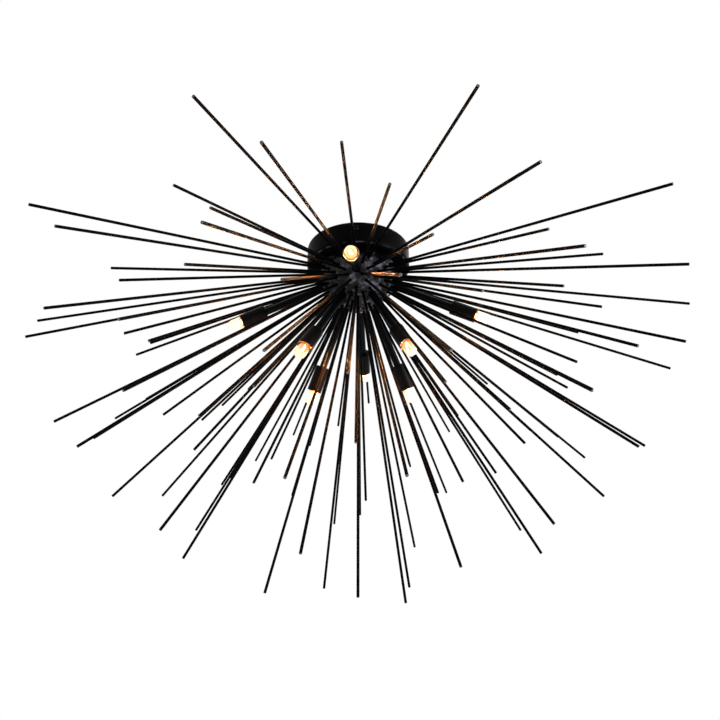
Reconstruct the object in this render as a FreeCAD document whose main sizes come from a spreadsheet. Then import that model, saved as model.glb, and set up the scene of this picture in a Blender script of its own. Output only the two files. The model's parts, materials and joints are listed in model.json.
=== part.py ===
import FreeCAD, Part
import itertools
import math
import os
from types import SimpleNamespace

import Sketcher

# Starburst flush mount ceiling light: a spun canopy, a half ball hub, rings of radiating rods
# and eight lamps on short tubular arms.
# Millimetres and degrees, +Z up. The origin is the centre of the canopy's rim, on the ceiling.
# The front is -Y, and an azimuth is counted from the front towards +X.

dimensions = {
    "canopy_diameter": 127.0,
    "canopy_height": 29.0,
    "canopy_wall": 1.2,
    "canopy_edge_radius": 6.0,
    "hub_radius": 48.0,
    "hub_rim": 3.0,
    "hub_collar": 3.0,
    "ledge_margin": 0.7,
    "plate_screw_diameter": 3.0,
    "plate_screw_length": 10.0,
    "plate_screw_head": 5.6,
    "plate_screw_cone": 1.3,
    "plate_screw_spare": 1.0,
    "nipple_diameter": 10.0,
    "nipple_bore": 6.5,
    "nipple_spare": 2.0,
    "nipple_nut_width": 15.0,
    "nipple_nut_height": 5.0,
    "washer_diameter": 20.0,
    "washer_thickness": 1.2,
    "bar_width": 22.0,
    "bar_thickness": 2.0,
    "bar_bend": 1.0,
    "bar_ear_drop": 16.0,
    "bar_end_gap": 0.4,
    "slot_spacing": 88.9,
    "slot_width": 5.0,
    "slot_length": 16.0,
    "ground_offset": 22.0,
    "side_screw_diameter": 4.0,
    "side_screw_length": 9.0,
    "side_screw_drop": 9.0,
    "ground_screw_length": 5.0,
    "pan_head_diameter": 7.5,
    "pan_head_height": 2.4,
    "pan_head_bevel": 0.7,
    "drive_slot_width": 1.0,
    "drive_slot_depth": 1.2,
    "rod_diameter": 3.2,
    "long_reach": 400.0,
    "short_reach": 297.0,
    "ring_1_drop": 8.0,
    "ring_2_step": 8.2,
    "ring_3_step": 8.4,
    "ring_4_step": 8.0,
    "ring_5_step": 8.4,
    "ring_6_step": 10.0,
    "ring_7_step": 7.5,
    "ring_8_step": 8.5,
    "ring_9_step": 6.0,
    "arm_diameter": 8.8,
    "arm_bore": 5.0,
    "arm_shoulder": 0.6,
    "arm_seat_rim": 0.7,
    "arm_nut_wall": 2.2,
    "arm_nut_height": 3.2,
    "arm_thread_spare": 0.6,
    "sleeve_diameter": 17.5,
    "sleeve_length": 32.0,
    "sleeve_wall": 0.8,
    "sleeve_base": 1.2,
    "sleeve_bevel": 1.5,
    "lamp_reach": 156.0,
    "holder_recess_depth": 3.0,
    "holder_web": 1.0,
    "holder_slot_depth": 5.0,
    "pin_spacing": 9.0,
    "pin_loop_width": 2.6,
    "pin_wire": 0.8,
    "pin_length": 6.2,
    "pin_root": 2.4,
    "bulb_diameter": 13.5,
    "bulb_wall": 0.9,
    "bulb_length": 27.0,
    "bulb_shoulder": 2.6,
    "pinch_margin": 0.4,
    "pinch_thickness": 3.6,
    "pinch_length": 7.6,
    "filament_diameter": 1.4,
    "filament_tail": 1.2,
    "filament_height": 11.0,
    "lead_wire": 0.6,
    "lead_spacing": 5.0,
    "thread_clearance": 0.05,
    "seat_clearance": 0.1,
    "hole_clearance": 0.25,
    "holder_clearance": 0.4,
    "slot_clearance": 0.4,
    "pin_clearance": 0.5,
}

# The drop of each ring below level, counted down from the first ring.
ring_steps = [alias for alias in dimensions if alias.startswith("ring_")]
ring_drops = list(itertools.accumulate(dimensions[alias] for alias in ring_steps))
straight_down = 90.0

# Each ring: its rods' name, the azimuth of its first slot, and what stands in each slot round it,
# with L for a long rod, S for a short one and O for a lamp.
rings = [
    ("rods_ring_1", 0.0, "SLSLSLSLSLSLSLSLSLSL"),
    ("rods_ring_2", 9.0, "SLSLSLSLSLSLSLSLSLSL"),
    ("rods_ring_3", 0.0, "OSLSLOSLSLOSLSLOSLSL"),
    ("rods_ring_4", 9.0, "LSLSLSLSLSLSLSLS"),
    ("rods_ring_5", 18.0, "LLLLLLLLLLLL"),
    ("rods_ring_6", 0.0, "SSSSSSSSSSSS"),
    ("rods_ring_7", 15.0, "LOLLOLLOLLOL"),
    ("rods_ring_8", 2.0, "SSSS"),
    ("rods_bottom", 65.0, "LLLL"),
]
lamp_names = {
    "rods_ring_3": ["upper_front", "upper_right", "upper_back", "upper_left"],
    "rods_ring_7": ["lower_front_right", "lower_back_right", "lower_back_left", "lower_front_left"],
}
plate_screw_count = 3

doc = FreeCAD.newDocument("ceiling_light")
sheet = doc.addObject("Spreadsheet::Sheet", "sizes")
for row, (alias, number) in enumerate(dimensions.items(), start=1):
    sheet.set(f"A{row}", alias)
    sheet.set(f"B{row}", str(number))
    sheet.setAlias(f"B{row}", alias)
doc.recompute()


# A size carries its number, for the first drawing of a sketch, and its formula in the sheet.
class Size:
    def __init__(self, value, formula):
        self.value = value
        self.formula = formula

    def joined(self, sign, other, value):
        return Size(value, f"({self.formula} {sign} {other.formula})")

    def __add__(self, other):
        other = as_size(other)
        return self.joined("+", other, self.value + other.value)

    def __sub__(self, other):
        other = as_size(other)
        return self.joined("-", other, self.value - other.value)

    def __mul__(self, other):
        other = as_size(other)
        return self.joined("*", other, self.value * other.value)

    def __truediv__(self, other):
        other = as_size(other)
        return self.joined("/", other, self.value / other.value)

    def __neg__(self):
        return Size(-self.value, f"(0 - {self.formula})")


def as_size(thing):
    if isinstance(thing, Size):
        return thing
    return Size(float(thing), str(float(thing)))


def root(size):
    return Size(math.sqrt(size.value), f"sqrt({size.formula})")


def leg(hypotenuse, other_leg):
    return root(hypotenuse * hypotenuse - other_leg * other_leg)


def bind(item, **sizes):
    for name, size in sizes.items():
        item.setExpression(name, as_size(size).formula)
    return item


def lift(item, x=0, y=0, z=0):
    for axis, size in (("x", x), ("y", y), ("z", z)):
        item.setExpression(f"Placement.Base.{axis}", as_size(size).formula)
    return item


zero = as_size(0)
s = SimpleNamespace(**{alias: Size(number, f"sizes.{alias}") for alias, number in dimensions.items()})

canopy_radius = s.canopy_diameter / 2
canopy_inner_radius = canopy_radius - s.canopy_wall
canopy_hole_radius = s.nipple_diameter / 2 + s.hole_clearance
hub_centre_z = -(s.canopy_height + s.hub_collar)
hub_wall = s.hub_rim + s.plate_screw_head + s.ledge_margin * 2
cavity_radius = s.hub_radius - hub_wall
plate_pocket_radius = s.hub_radius - s.hub_rim
plate_radius = plate_pocket_radius - s.seat_clearance
plate_screw_ring = (cavity_radius + plate_pocket_radius) / 2
thread_hole_radius = s.nipple_diameter / 2 + s.thread_clearance
bar_half_length = leg(canopy_inner_radius, s.bar_width / 2) - s.bar_end_gap
side_thread_radius = s.side_screw_diameter / 2 + s.thread_clearance
arm_seat_radius = s.arm_diameter / 2 + s.arm_seat_rim
arm_seat = leg(s.hub_radius, arm_seat_radius)
arm_thread = s.arm_diameter / 2 - s.arm_shoulder
arm_thread_hole = arm_thread + s.thread_clearance
sleeve_start = s.lamp_reach - s.sleeve_length
sleeve_floor = sleeve_start + s.sleeve_base
sleeve_inner_radius = s.sleeve_diameter / 2 - s.sleeve_wall
holder_start = sleeve_floor + s.arm_nut_height
pin_hole_radius = s.pin_loop_width / 2 + s.pin_clearance
pin_hole_depth = s.pin_length + s.pin_clearance
holder_length = s.holder_recess_depth + s.holder_web + pin_hole_depth + s.holder_slot_depth
holder_slot_floor = holder_start + holder_length - s.holder_slot_depth
pinch_width = s.pin_spacing + s.pin_loop_width + s.pinch_margin * 2
pinch_start = holder_slot_floor + s.seat_clearance
bulb_start = pinch_start + s.pinch_length
bulb_radius = s.bulb_diameter / 2
bulb_inner_radius = bulb_radius - s.bulb_wall
bulb_dome_start = bulb_start + s.bulb_length - bulb_radius


# Sketches and solids

def origin_plane(body, role):
    for feature in body.Origin.OriginFeatures:
        if feature.Role == role:
            return feature
    raise ValueError(role)


# An edge that bends: the arc or line from one corner to the next, and its two end numbers.
def drawn_edge(start, end, centre):
    if centre is None:
        return Part.LineSegment(start, end), 1, 2
    first = math.atan2(start.y - centre.y, start.x - centre.x)
    last = math.atan2(end.y - centre.y, end.x - centre.x)
    sweep = (last - first) % math.tau
    circle = Part.Circle(centre, FreeCAD.Vector(0, 0, 1), (start - centre).Length)
    if sweep <= math.pi + 1e-6:
        return Part.ArcOfCircle(circle, first, first + sweep), 1, 2
    return Part.ArcOfCircle(circle, last, last + math.tau - sweep), 2, 1


# Fixes one coordinate of a sketch point to a size, measured from the sketch's origin.
def fix(sketch, kind, edge, end, size):
    if size is zero:
        axis = -2 if kind == "DistanceX" else -1
        sketch.addConstraint(Sketcher.Constraint("PointOnObject", edge, end, axis))
        return
    number = sketch.addConstraint(Sketcher.Constraint(kind, -1, 1, edge, end, size.value))
    sketch.setExpression(f"Constraints[{number}]", size.formula)


# Draws one closed loop. A corner is (x, y), or (x, y, centre) where the edge that arrives at it
# is an arc about that centre.
def draw_loop(sketch, corners):
    points = [FreeCAD.Vector(corner[0].value, corner[1].value, 0) for corner in corners]
    edges = []
    for number, start in enumerate(points):
        arrival = (number + 1) % len(corners)
        centre = corners[arrival][2] if len(corners[arrival]) > 2 else None
        middle = FreeCAD.Vector(centre[0].value, centre[1].value, 0) if centre else None
        shape, first, last = drawn_edge(start, points[arrival], middle)
        edges.append((sketch.addGeometry(shape, False), first, last, centre))
    for number, (edge, first, last, centre) in enumerate(edges):
        following = edges[(number + 1) % len(edges)]
        sketch.addConstraint(Sketcher.Constraint("Coincident", edge, last, following[0], following[1]))
        fix(sketch, "DistanceX", edge, first, corners[number][0])
        fix(sketch, "DistanceY", edge, first, corners[number][1])
    for number, (edge, first, last, centre) in enumerate(edges):
        if centre is None:
            continue
        chord = points[(number + 1) % len(points)] - points[number]
        along_x = abs(chord.y) >= abs(chord.x)
        fix(sketch, "DistanceX" if along_x else "DistanceY", edge, 3, centre[0 if along_x else 1])


def draw_circle(sketch, x, y, radius):
    centre = FreeCAD.Vector(x.value, y.value, 0)
    circle = Part.Circle(centre, FreeCAD.Vector(0, 0, 1), radius.value)
    edge = sketch.addGeometry(circle, False)
    fix(sketch, "DistanceX", edge, 3, x)
    fix(sketch, "DistanceY", edge, 3, y)
    number = sketch.addConstraint(Sketcher.Constraint("Radius", edge, radius.value))
    sketch.setExpression(f"Constraints[{number}]", radius.formula)


def new_body(name):
    body = doc.addObject("PartDesign::Body", name)
    body.Label = name
    return body


def new_sketch(body, plane, name):
    sketch = body.newObject("Sketcher::SketchObject", name)
    sketch.AttachmentSupport = [(origin_plane(body, plane), "")]
    sketch.MapMode = "FlatFace"
    return sketch


# A turned piece: an outline of radius and height, swung about the vertical axis.
def turned(name, corners):
    body = new_body(name)
    sketch = new_sketch(body, "XZ_Plane", name + "_outline")
    draw_loop(sketch, corners)
    turn = body.newObject("PartDesign::Revolution", name + "_turn")
    turn.Profile = sketch
    turn.ReferenceAxis = (sketch, ["V_Axis"])
    turn.Angle = 360
    return body


def padded(name, plane, corners, length):
    body = new_body(name)
    sketch = new_sketch(body, plane, name + "_outline")
    draw_loop(sketch, corners)
    pad = body.newObject("PartDesign::Pad", name + "_pad")
    pad.Profile = sketch
    pad.SideType = "Symmetric"
    bind(pad, Length=length)
    return body


# Cuts the holes of a sketch right through a body, both ways from the sketch's plane.
def pocket_through(body, sketch, name):
    doc.recompute()
    before = body.Shape.Volume
    pocket = body.newObject("PartDesign::Pocket", name)
    pocket.Profile = sketch
    pocket.SideType = "Symmetric"
    pocket.Type = "ThroughAll"
    doc.recompute()
    if body.Shape.Volume >= before:
        raise ValueError(name + " cuts nothing")


def cylinder(name, radius, height, x=0, y=0, z=0):
    return lift(bind(doc.addObject("Part::Cylinder", name), Radius=radius, Height=height), x, y, z)


def box(name, length, width, height, x=0, y=0, z=0):
    item = bind(doc.addObject("Part::Box", name), Length=length, Width=width, Height=height)
    return lift(item, as_size(x) - length / 2, as_size(y) - width / 2, z)


def cut(name, base, tools):
    item = doc.addObject("Part::Cut", name)
    item.Base = base
    item.Tool = tools[0] if len(tools) == 1 else fuse(name + "_tools", tools)
    return item


def fuse(name, pieces):
    item = doc.addObject("Part::MultiFuse", name)
    item.Shapes = pieces
    item.Refine = False
    return item


def group(name, pieces, placement=None):
    item = doc.addObject("Part::Compound", name)
    item.Label = name
    item.Links = pieces
    if placement:
        item.Placement = placement
    return item


def hex_nut(name, width, height, hole_radius, z=0):
    prism = doc.addObject("Part::Prism", name + "_hexagon")
    prism.Polygon = 6
    lift(bind(prism, Circumradius=width / root(as_size(3)), Height=height), z=z)
    return cut(name, prism, [cylinder(name + "_hole", hole_radius, height, z=z)])


# A pan head screw that points down from its head's seat at z = 0.
def pan_screw(name, length):
    radius = s.side_screw_diameter / 2
    head = s.pan_head_diameter / 2
    blank = turned(name + "_blank", [
        (zero, -length),
        (radius, -length),
        (radius, zero),
        (head, zero),
        (head, s.pan_head_height - s.pan_head_bevel),
        (head - s.pan_head_bevel, s.pan_head_height),
        (zero, s.pan_head_height),
    ])
    slot = box(name + "_slot", s.pan_head_diameter, s.drive_slot_width, s.drive_slot_depth,
               z=s.pan_head_height - s.drive_slot_depth)
    return cut(name, blank, [slot])


# Canopy and what holds it to the ceiling

def make_canopy():
    edge = s.canopy_edge_radius
    floor = -s.canopy_height
    bend = (canopy_radius - edge, floor + edge)
    body = turned("canopy", [
        (canopy_radius, zero),
        (canopy_inner_radius, zero),
        (canopy_inner_radius, floor + edge),
        (canopy_radius - edge, floor + s.canopy_wall, bend),
        (canopy_hole_radius, floor + s.canopy_wall),
        (canopy_hole_radius, floor),
        (canopy_radius - edge, floor),
        (canopy_radius, floor + edge, bend),
    ])
    holes = new_sketch(body, "XZ_Plane", "canopy_screw_hole")
    draw_circle(holes, zero, -s.side_screw_drop, s.side_screw_diameter / 2 + s.hole_clearance)
    pocket_through(body, holes, "canopy_screw_holes")
    return body


def slot_loop(y):
    half = s.slot_width / 2
    reach = (s.slot_length - s.slot_width) / 2
    return [
        (half, y + reach),
        (-half, y + reach, (zero, y + reach)),
        (-half, y - reach),
        (half, y - reach, (zero, y - reach)),
    ]


def make_mounting_bar():
    thick = s.bar_thickness
    outer = thick + s.bar_bend
    end = bar_half_length
    inner_end = end - thick
    right_bend = (end - outer, -outer)
    left_bend = (outer - end, -outer)
    body = padded("mounting_bar", "YZ_Plane", [
        (end, -outer),
        (end - outer, zero, right_bend),
        (outer - end, zero),
        (-end, -outer, left_bend),
        (-end, -s.bar_ear_drop),
        (-inner_end, -s.bar_ear_drop),
        (-inner_end, -outer),
        (outer - end, -thick, left_bend),
        (end - outer, -thick),
        (inner_end, -outer, right_bend),
        (inner_end, -s.bar_ear_drop),
        (end, -s.bar_ear_drop),
    ], s.bar_width)
    openings = new_sketch(body, "XY_Plane", "mounting_bar_slots")
    draw_loop(openings, slot_loop(s.slot_spacing / 2))
    draw_loop(openings, slot_loop(-s.slot_spacing / 2))
    draw_circle(openings, zero, zero, thread_hole_radius)
    draw_circle(openings, zero, s.ground_offset, side_thread_radius)
    pocket_through(body, openings, "mounting_bar_openings")
    threads = new_sketch(body, "XZ_Plane", "mounting_bar_thread")
    draw_circle(threads, zero, -s.side_screw_drop, side_thread_radius)
    pocket_through(body, threads, "mounting_bar_threads")
    return body


def make_side_screws():
    form = pan_screw("side_screw_form", s.side_screw_length)
    screws = []
    for side, turn in (("front", 90), ("back", -90)):
        screw = group("side_screw_" + side, [form])
        screw.Placement.Rotation = FreeCAD.Rotation(FreeCAD.Vector(1, 0, 0), turn)
        sign = -1 if side == "front" else 1
        screws.append(lift(screw, y=canopy_radius * sign, z=-s.side_screw_drop))
    return group("canopy_side_screws", screws)


def make_ground_screw():
    form = pan_screw("ground_screw_form", s.ground_screw_length)
    screw = group("ground_screw", [form])
    screw.Placement.Rotation = FreeCAD.Rotation(FreeCAD.Vector(1, 0, 0), 180)
    return lift(screw, y=s.ground_offset, z=-s.bar_thickness)


# Hub: a hollow half ball under a plate, hung from the canopy on a hollow threaded nipple

def make_hub_dome():
    centre = (zero, zero)
    blank = turned("hub_blank", [
        (s.hub_radius, zero, centre),
        (s.hub_radius, s.hub_collar),
        (plate_pocket_radius, s.hub_collar),
        (plate_pocket_radius, zero),
        (cavity_radius, zero),
        (zero, -cavity_radius, centre),
        (zero, -s.hub_radius),
    ])
    tools = []
    hole = cylinder("arm_hole_form", arm_thread_hole, s.hub_radius)
    seat = cylinder("arm_seat_form", arm_seat_radius, s.hub_radius, z=arm_seat)
    arm_tool = fuse("arm_tool_form", [hole, seat])
    for name, drop, azimuth in lamp_slots():
        tools.append(group("arm_tool_" + name, [arm_tool], aimed(drop, azimuth, zero)))
    depth = s.plate_screw_length - s.hub_collar + s.plate_screw_spare
    thread = cylinder("plate_thread_form", s.plate_screw_diameter / 2 + s.thread_clearance, depth,
                      x=plate_screw_ring, z=-depth)
    tools += spread("plate_thread", thread, plate_screw_count)
    dome = cut("hub_dome", blank, tools)
    return lift(dome, z=hub_centre_z)


def spread(name, form, count):
    copies = []
    for number in range(count):
        turn = FreeCAD.Rotation(FreeCAD.Vector(0, 0, 1), 360.0 * number / count)
        copies.append(group(f"{name}_{number + 1}", [form], FreeCAD.Placement(FreeCAD.Vector(), turn)))
    return copies


# The cone of a countersunk head, wider by the clearance, with its top at the collar's height.
def countersink(name, clearance):
    cone = doc.addObject("Part::Cone", name)
    bind(cone, Radius1=s.plate_screw_diameter / 2 + clearance,
         Radius2=s.plate_screw_head / 2 + clearance, Height=s.plate_screw_cone)
    return lift(cone, x=plate_screw_ring, z=s.hub_collar - s.plate_screw_cone)


def make_hub_plate():
    disc = cylinder("hub_plate_disc", plate_radius, s.hub_collar)
    middle = cylinder("hub_plate_thread", thread_hole_radius, s.hub_collar)
    hole = cylinder("plate_hole_form", s.plate_screw_diameter / 2 + s.seat_clearance, s.hub_collar,
                    x=plate_screw_ring)
    sink = fuse("plate_sink_form", [hole, countersink("plate_cone_form", s.seat_clearance)])
    plate = cut("hub_plate", disc, [middle] + spread("plate_sink", sink, plate_screw_count))
    return lift(plate, z=hub_centre_z)


def make_plate_screws():
    shank = cylinder("plate_shank_form", s.plate_screw_diameter / 2, s.plate_screw_length,
                     x=plate_screw_ring, z=s.hub_collar - s.plate_screw_length)
    screw = fuse("plate_screw_form", [shank, countersink("plate_head_form", zero)])
    screws = spread("plate_screw", screw, plate_screw_count)
    return lift(group("hub_plate_screws", screws), z=hub_centre_z)


def make_nipple():
    low = -(s.nipple_nut_height + s.nipple_spare)
    high = s.hub_collar + s.canopy_wall + s.washer_thickness + s.nipple_nut_height + s.nipple_spare
    body = turned("nipple", [
        (s.nipple_bore / 2, low),
        (s.nipple_diameter / 2, low),
        (s.nipple_diameter / 2, high),
        (s.nipple_bore / 2, high),
    ])
    return lift(body, z=hub_centre_z)


def make_nipple_washer():
    floor = s.hub_collar + s.canopy_wall
    body = turned("nipple_washer", [
        (canopy_hole_radius, floor),
        (s.washer_diameter / 2, floor),
        (s.washer_diameter / 2, floor + s.washer_thickness),
        (canopy_hole_radius, floor + s.washer_thickness),
    ])
    return lift(body, z=hub_centre_z)


def make_nipple_nuts():
    upper = hex_nut("nipple_nut_upper", s.nipple_nut_width, s.nipple_nut_height, thread_hole_radius,
                    z=s.hub_collar + s.canopy_wall + s.washer_thickness)
    lower = hex_nut("nipple_nut_lower", s.nipple_nut_width, s.nipple_nut_height, thread_hole_radius,
                    z=-s.nipple_nut_height)
    return lift(group("nipple_nuts", [upper, lower]), z=hub_centre_z)


# Rods and lamps are drawn along +Z from the hub's centre, then aimed

def aimed(drop, azimuth, height):
    angle = math.radians(drop)
    turn = math.radians(azimuth)
    level = math.cos(angle)
    way = FreeCAD.Vector(level * math.sin(turn), -level * math.cos(turn), -math.sin(angle))
    swing = FreeCAD.Rotation(FreeCAD.Vector(0, 0, 1), way)
    return FreeCAD.Placement(FreeCAD.Vector(0, 0, height.value), swing)


# The slots of a ring that hold one of the wanted things: each one's mark, drop and azimuth.
def slots_of(ring, drop, wanted):
    name, start, run = ring
    slots = []
    for slot, mark in enumerate(run):
        if mark in wanted:
            slots.append((mark, drop, start + 360.0 * slot / len(run)))
    return slots


def lamp_slots():
    places = []
    for ring, drop in zip(rings, ring_drops):
        slots = slots_of(ring, drop, "O")
        for name, (mark, drop, azimuth) in zip(lamp_names.get(ring[0], []), slots):
            places.append((name, drop, azimuth))
    return places


def make_rods():
    forms = {}
    for mark, reach in (("L", s.long_reach), ("S", s.short_reach)):
        length = reach - s.hub_radius
        forms[mark] = cylinder("rod_form_" + mark, s.rod_diameter / 2, length, z=s.hub_radius)
    nodes = []
    for ring, drop in zip(rings, ring_drops):
        name = ring[0]
        slots = slots_of(ring, drop, forms)
        if name == "rods_bottom":
            slots.append(("L", straight_down, 0.0))
        rods = []
        for number, (mark, drop, azimuth) in enumerate(slots, start=1):
            rods.append(group(f"{name}_{number}", [forms[mark]], aimed(drop, azimuth, hub_centre_z)))
        nodes.append(group(name, rods))
    return nodes


def make_arm_form():
    bore = s.arm_bore / 2
    end = holder_start + s.arm_thread_spare
    return turned("arm_form", [
        (bore, arm_seat - hub_wall),
        (arm_thread, arm_seat - hub_wall),
        (arm_thread, arm_seat),
        (s.arm_diameter / 2, arm_seat),
        (s.arm_diameter / 2, sleeve_start),
        (arm_thread, sleeve_start),
        (arm_thread, end),
        (bore, end),
    ])


def make_sleeve_form():
    outer = s.sleeve_diameter / 2
    return turned("sleeve_form", [
        (arm_thread_hole, sleeve_start),
        (outer - s.sleeve_bevel, sleeve_start),
        (outer, sleeve_start + s.sleeve_bevel),
        (outer, s.lamp_reach),
        (sleeve_inner_radius, s.lamp_reach),
        (sleeve_inner_radius, sleeve_floor),
        (arm_thread_hole, sleeve_floor),
    ])


def make_holder_form():
    gap = s.slot_clearance * 2
    radius = sleeve_inner_radius - s.holder_clearance
    recess_radius = arm_thread + s.holder_clearance
    body = cylinder("holder_body", radius, holder_length, z=holder_start)
    recess = cylinder("holder_recess", recess_radius, s.holder_recess_depth, z=holder_start)
    slot = box("holder_slot", pinch_width + gap, s.pinch_thickness + gap, s.holder_slot_depth,
               z=holder_slot_floor)
    tools = [recess, slot]
    for side, sign in (("left", -1), ("right", 1)):
        tools.append(cylinder("holder_pin_hole_" + side, pin_hole_radius, pin_hole_depth,
                              x=s.pin_spacing * sign / 2, z=holder_slot_floor - pin_hole_depth))
    return cut("holder_form", body, tools)


def make_glass_form():
    floor = bulb_start + s.bulb_wall
    neck = s.bulb_shoulder
    dome = (zero, bulb_dome_start)
    envelope = turned("glass_envelope", [
        (zero, bulb_start),
        (bulb_radius - neck, bulb_start),
        (bulb_radius, bulb_start + neck),
        (bulb_radius, bulb_dome_start),
        (zero, bulb_dome_start + bulb_radius, dome),
        (zero, bulb_dome_start + bulb_inner_radius),
        (bulb_inner_radius, bulb_dome_start, dome),
        (bulb_inner_radius, floor + neck),
        (bulb_inner_radius - neck, floor),
        (zero, floor),
    ])
    pinch = box("glass_pinch", pinch_width, s.pinch_thickness, s.pinch_length + s.bulb_wall / 2,
                z=pinch_start)
    blank = fuse("glass_blank", [envelope, pinch])
    pocket_width = s.pin_loop_width + s.seat_clearance
    pocket_depth = s.pin_wire + s.seat_clearance
    lead_radius = s.lead_wire / 2 + s.thread_clearance
    tools = []
    for side, sign in (("left", -1), ("right", 1)):
        tools.append(box("glass_pin_pocket_" + side, pocket_width, pocket_depth, s.pin_root,
                         x=s.pin_spacing * sign / 2, z=pinch_start))
        tools.append(cylinder("glass_lead_hole_" + side, lead_radius, s.pin_root + s.bulb_wall,
                              x=s.lead_spacing * sign / 2, z=bulb_start - s.pin_root))
    return cut("glass_form", blank, tools)


# Two looped contact pins below the pinch, and the filament on its two lead wires above it.
def make_filament_form():
    wire = s.pin_wire
    outer = s.pin_loop_width / 2
    inner = outer - wire
    low = pinch_start - s.pin_length + outer
    high = pinch_start + s.pin_root
    centre = (zero, low)
    loop = padded("pin_loop_form", "XZ_Plane", [
        (-outer, low),
        (outer, low, centre),
        (outer, high),
        (inner, high),
        (inner, low),
        (-inner, low, centre),
        (-inner, high),
        (-outer, high),
    ], wire)
    pieces = []
    filament_z = bulb_start + s.bulb_wall + s.filament_height
    wire_start = bulb_start - s.pin_root
    wire_end = filament_z - s.filament_diameter / 2
    for side, sign in (("left", -1), ("right", 1)):
        pieces.append(lift(group("pin_loop_" + side, [loop]), x=s.pin_spacing * sign / 2))
        pieces.append(cylinder("lead_wire_" + side, s.lead_wire / 2, wire_end - wire_start,
                               x=s.lead_spacing * sign / 2, z=wire_start))
    coil_length = s.lead_spacing + s.filament_tail * 2
    coil = cylinder("filament_coil", s.filament_diameter / 2, coil_length)
    coil.Placement.Rotation = FreeCAD.Rotation(FreeCAD.Vector(0, 1, 0), 90)
    pieces.append(lift(coil, x=-coil_length / 2, z=filament_z))
    return group("filament_form", pieces)


def make_lamps():
    forms = {
        "lamp_arm": make_arm_form(),
        "lamp_sleeve": make_sleeve_form(),
        "lamp_holder": make_holder_form(),
        "bulb_glass": make_glass_form(),
        "bulb_filament": make_filament_form(),
    }
    nut_width = (arm_thread + s.arm_nut_wall) * 2
    nut_form = hex_nut("arm_nut_form", nut_width, s.arm_nut_height, arm_thread_hole, z=sleeve_floor)
    nodes = []
    nuts = []
    for place_name, drop, azimuth in lamp_slots():
        place = aimed(drop, azimuth, hub_centre_z)
        for piece, form in forms.items():
            nodes.append(group(f"{piece}_{place_name}", [form], place))
        nuts.append(group("arm_nut_" + place_name, [nut_form], place))
    nodes.append(group("arm_nuts", nuts))
    return nodes


def check_and_export(nodes):
    doc.recompute()
    for item in doc.Objects:
        if "Invalid" in item.State or "Error" in item.State:
            raise RuntimeError(f"{item.Name}: {item.State}")
    for node in nodes:
        if node.Shape.isNull() or not node.Shape.isValid() or not node.Shape.Solids:
            raise RuntimeError(node.Label + " has no valid solid")
    os.makedirs("parts", exist_ok=True)
    for node in nodes:
        node.Shape.exportStep(f"parts/{node.Label}.step")
    print(len(nodes), "nodes,", sum(len(node.Shape.Solids) for node in nodes), "solids")


check_and_export([
    make_canopy(),
    make_mounting_bar(),
    make_side_screws(),
    make_ground_screw(),
    make_hub_dome(),
    make_hub_plate(),
    make_plate_screws(),
    make_nipple(),
    make_nipple_washer(),
    make_nipple_nuts(),
    *make_rods(),
    *make_lamps(),
])
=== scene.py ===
import json
import math

import bmesh
import bpy
import numpy as np
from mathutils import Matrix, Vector


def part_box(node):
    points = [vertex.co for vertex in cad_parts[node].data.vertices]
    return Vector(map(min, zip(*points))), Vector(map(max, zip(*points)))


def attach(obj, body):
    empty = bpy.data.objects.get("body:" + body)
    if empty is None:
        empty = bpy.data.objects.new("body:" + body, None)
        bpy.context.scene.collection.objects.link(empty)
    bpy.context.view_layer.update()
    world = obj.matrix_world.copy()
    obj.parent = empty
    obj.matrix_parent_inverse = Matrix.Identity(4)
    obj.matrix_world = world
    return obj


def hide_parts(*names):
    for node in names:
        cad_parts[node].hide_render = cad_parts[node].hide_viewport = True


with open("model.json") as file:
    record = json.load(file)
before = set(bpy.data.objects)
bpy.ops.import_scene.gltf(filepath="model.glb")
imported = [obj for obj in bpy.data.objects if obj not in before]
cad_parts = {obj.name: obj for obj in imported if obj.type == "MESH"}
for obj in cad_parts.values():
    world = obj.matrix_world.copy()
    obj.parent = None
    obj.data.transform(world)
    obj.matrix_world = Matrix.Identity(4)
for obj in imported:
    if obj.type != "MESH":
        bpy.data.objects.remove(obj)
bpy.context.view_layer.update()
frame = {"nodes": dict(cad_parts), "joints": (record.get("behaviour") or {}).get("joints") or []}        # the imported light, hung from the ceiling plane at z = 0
mm = 0.001               # sizes below are millimetres, meshes are metres
seamGap = 1e-7           # metres: points closer than this are one
downCosine = -0.999999   # to +Z: a way below it counts as straight down

scene = bpy.context.scene
scene.view_settings.view_transform = "Standard"


# Measuring the frame

def cornersOf(node):
    low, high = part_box(node)
    return np.array(low) / mm, np.array(high) / mm


def verticesOf(node):
    mesh = frame["nodes"][node].data
    flat = np.empty(len(mesh.vertices) * 3)
    mesh.vertices.foreach_get("co", flat)
    return flat.reshape(-1, 3) / mm


# Start, end and radius of a node about an axis from the hub's centre: least and most of the dot
# product with the way, and the most distance from the axis.
def reachOf(node, way):
    offset = verticesOf(node) - hubCentre
    along = offset @ way
    across = np.linalg.norm(offset - along[:, None] * way, axis=1)
    return along.min(), along.max(), across.max()


domeLow, domeHigh = cornersOf("hub_dome")
hubRadius = (domeHigh[0] - domeLow[0]) / 2
hubCentre = np.array([0.0, 0.0, domeLow[2] + hubRadius])
lampWays = {}
for joint in frame["joints"]:
    lampWays[joint["child"].removeprefix("bulb_")] = np.array(joint["axis"], float)
print("hub radius", round(hubRadius, 2), "mm, lamps", len(lampWays))


# Surfaces on a grid of two parameters

# Points of an arc about a centre in the plane of radius and height, angles in degrees.
def arcPoints(centre, radius, start, end, steps):
    angle = np.radians(np.linspace(start, end, steps))
    return np.stack([centre[0] + radius * np.cos(angle), centre[1] + radius * np.sin(angle)], 1)


def outline(*parts):
    return np.concatenate([np.atleast_2d(np.asarray(part, float)) for part in parts])


def anglesOf(sides):
    return np.arange(sides) * (math.tau / sides)


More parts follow.
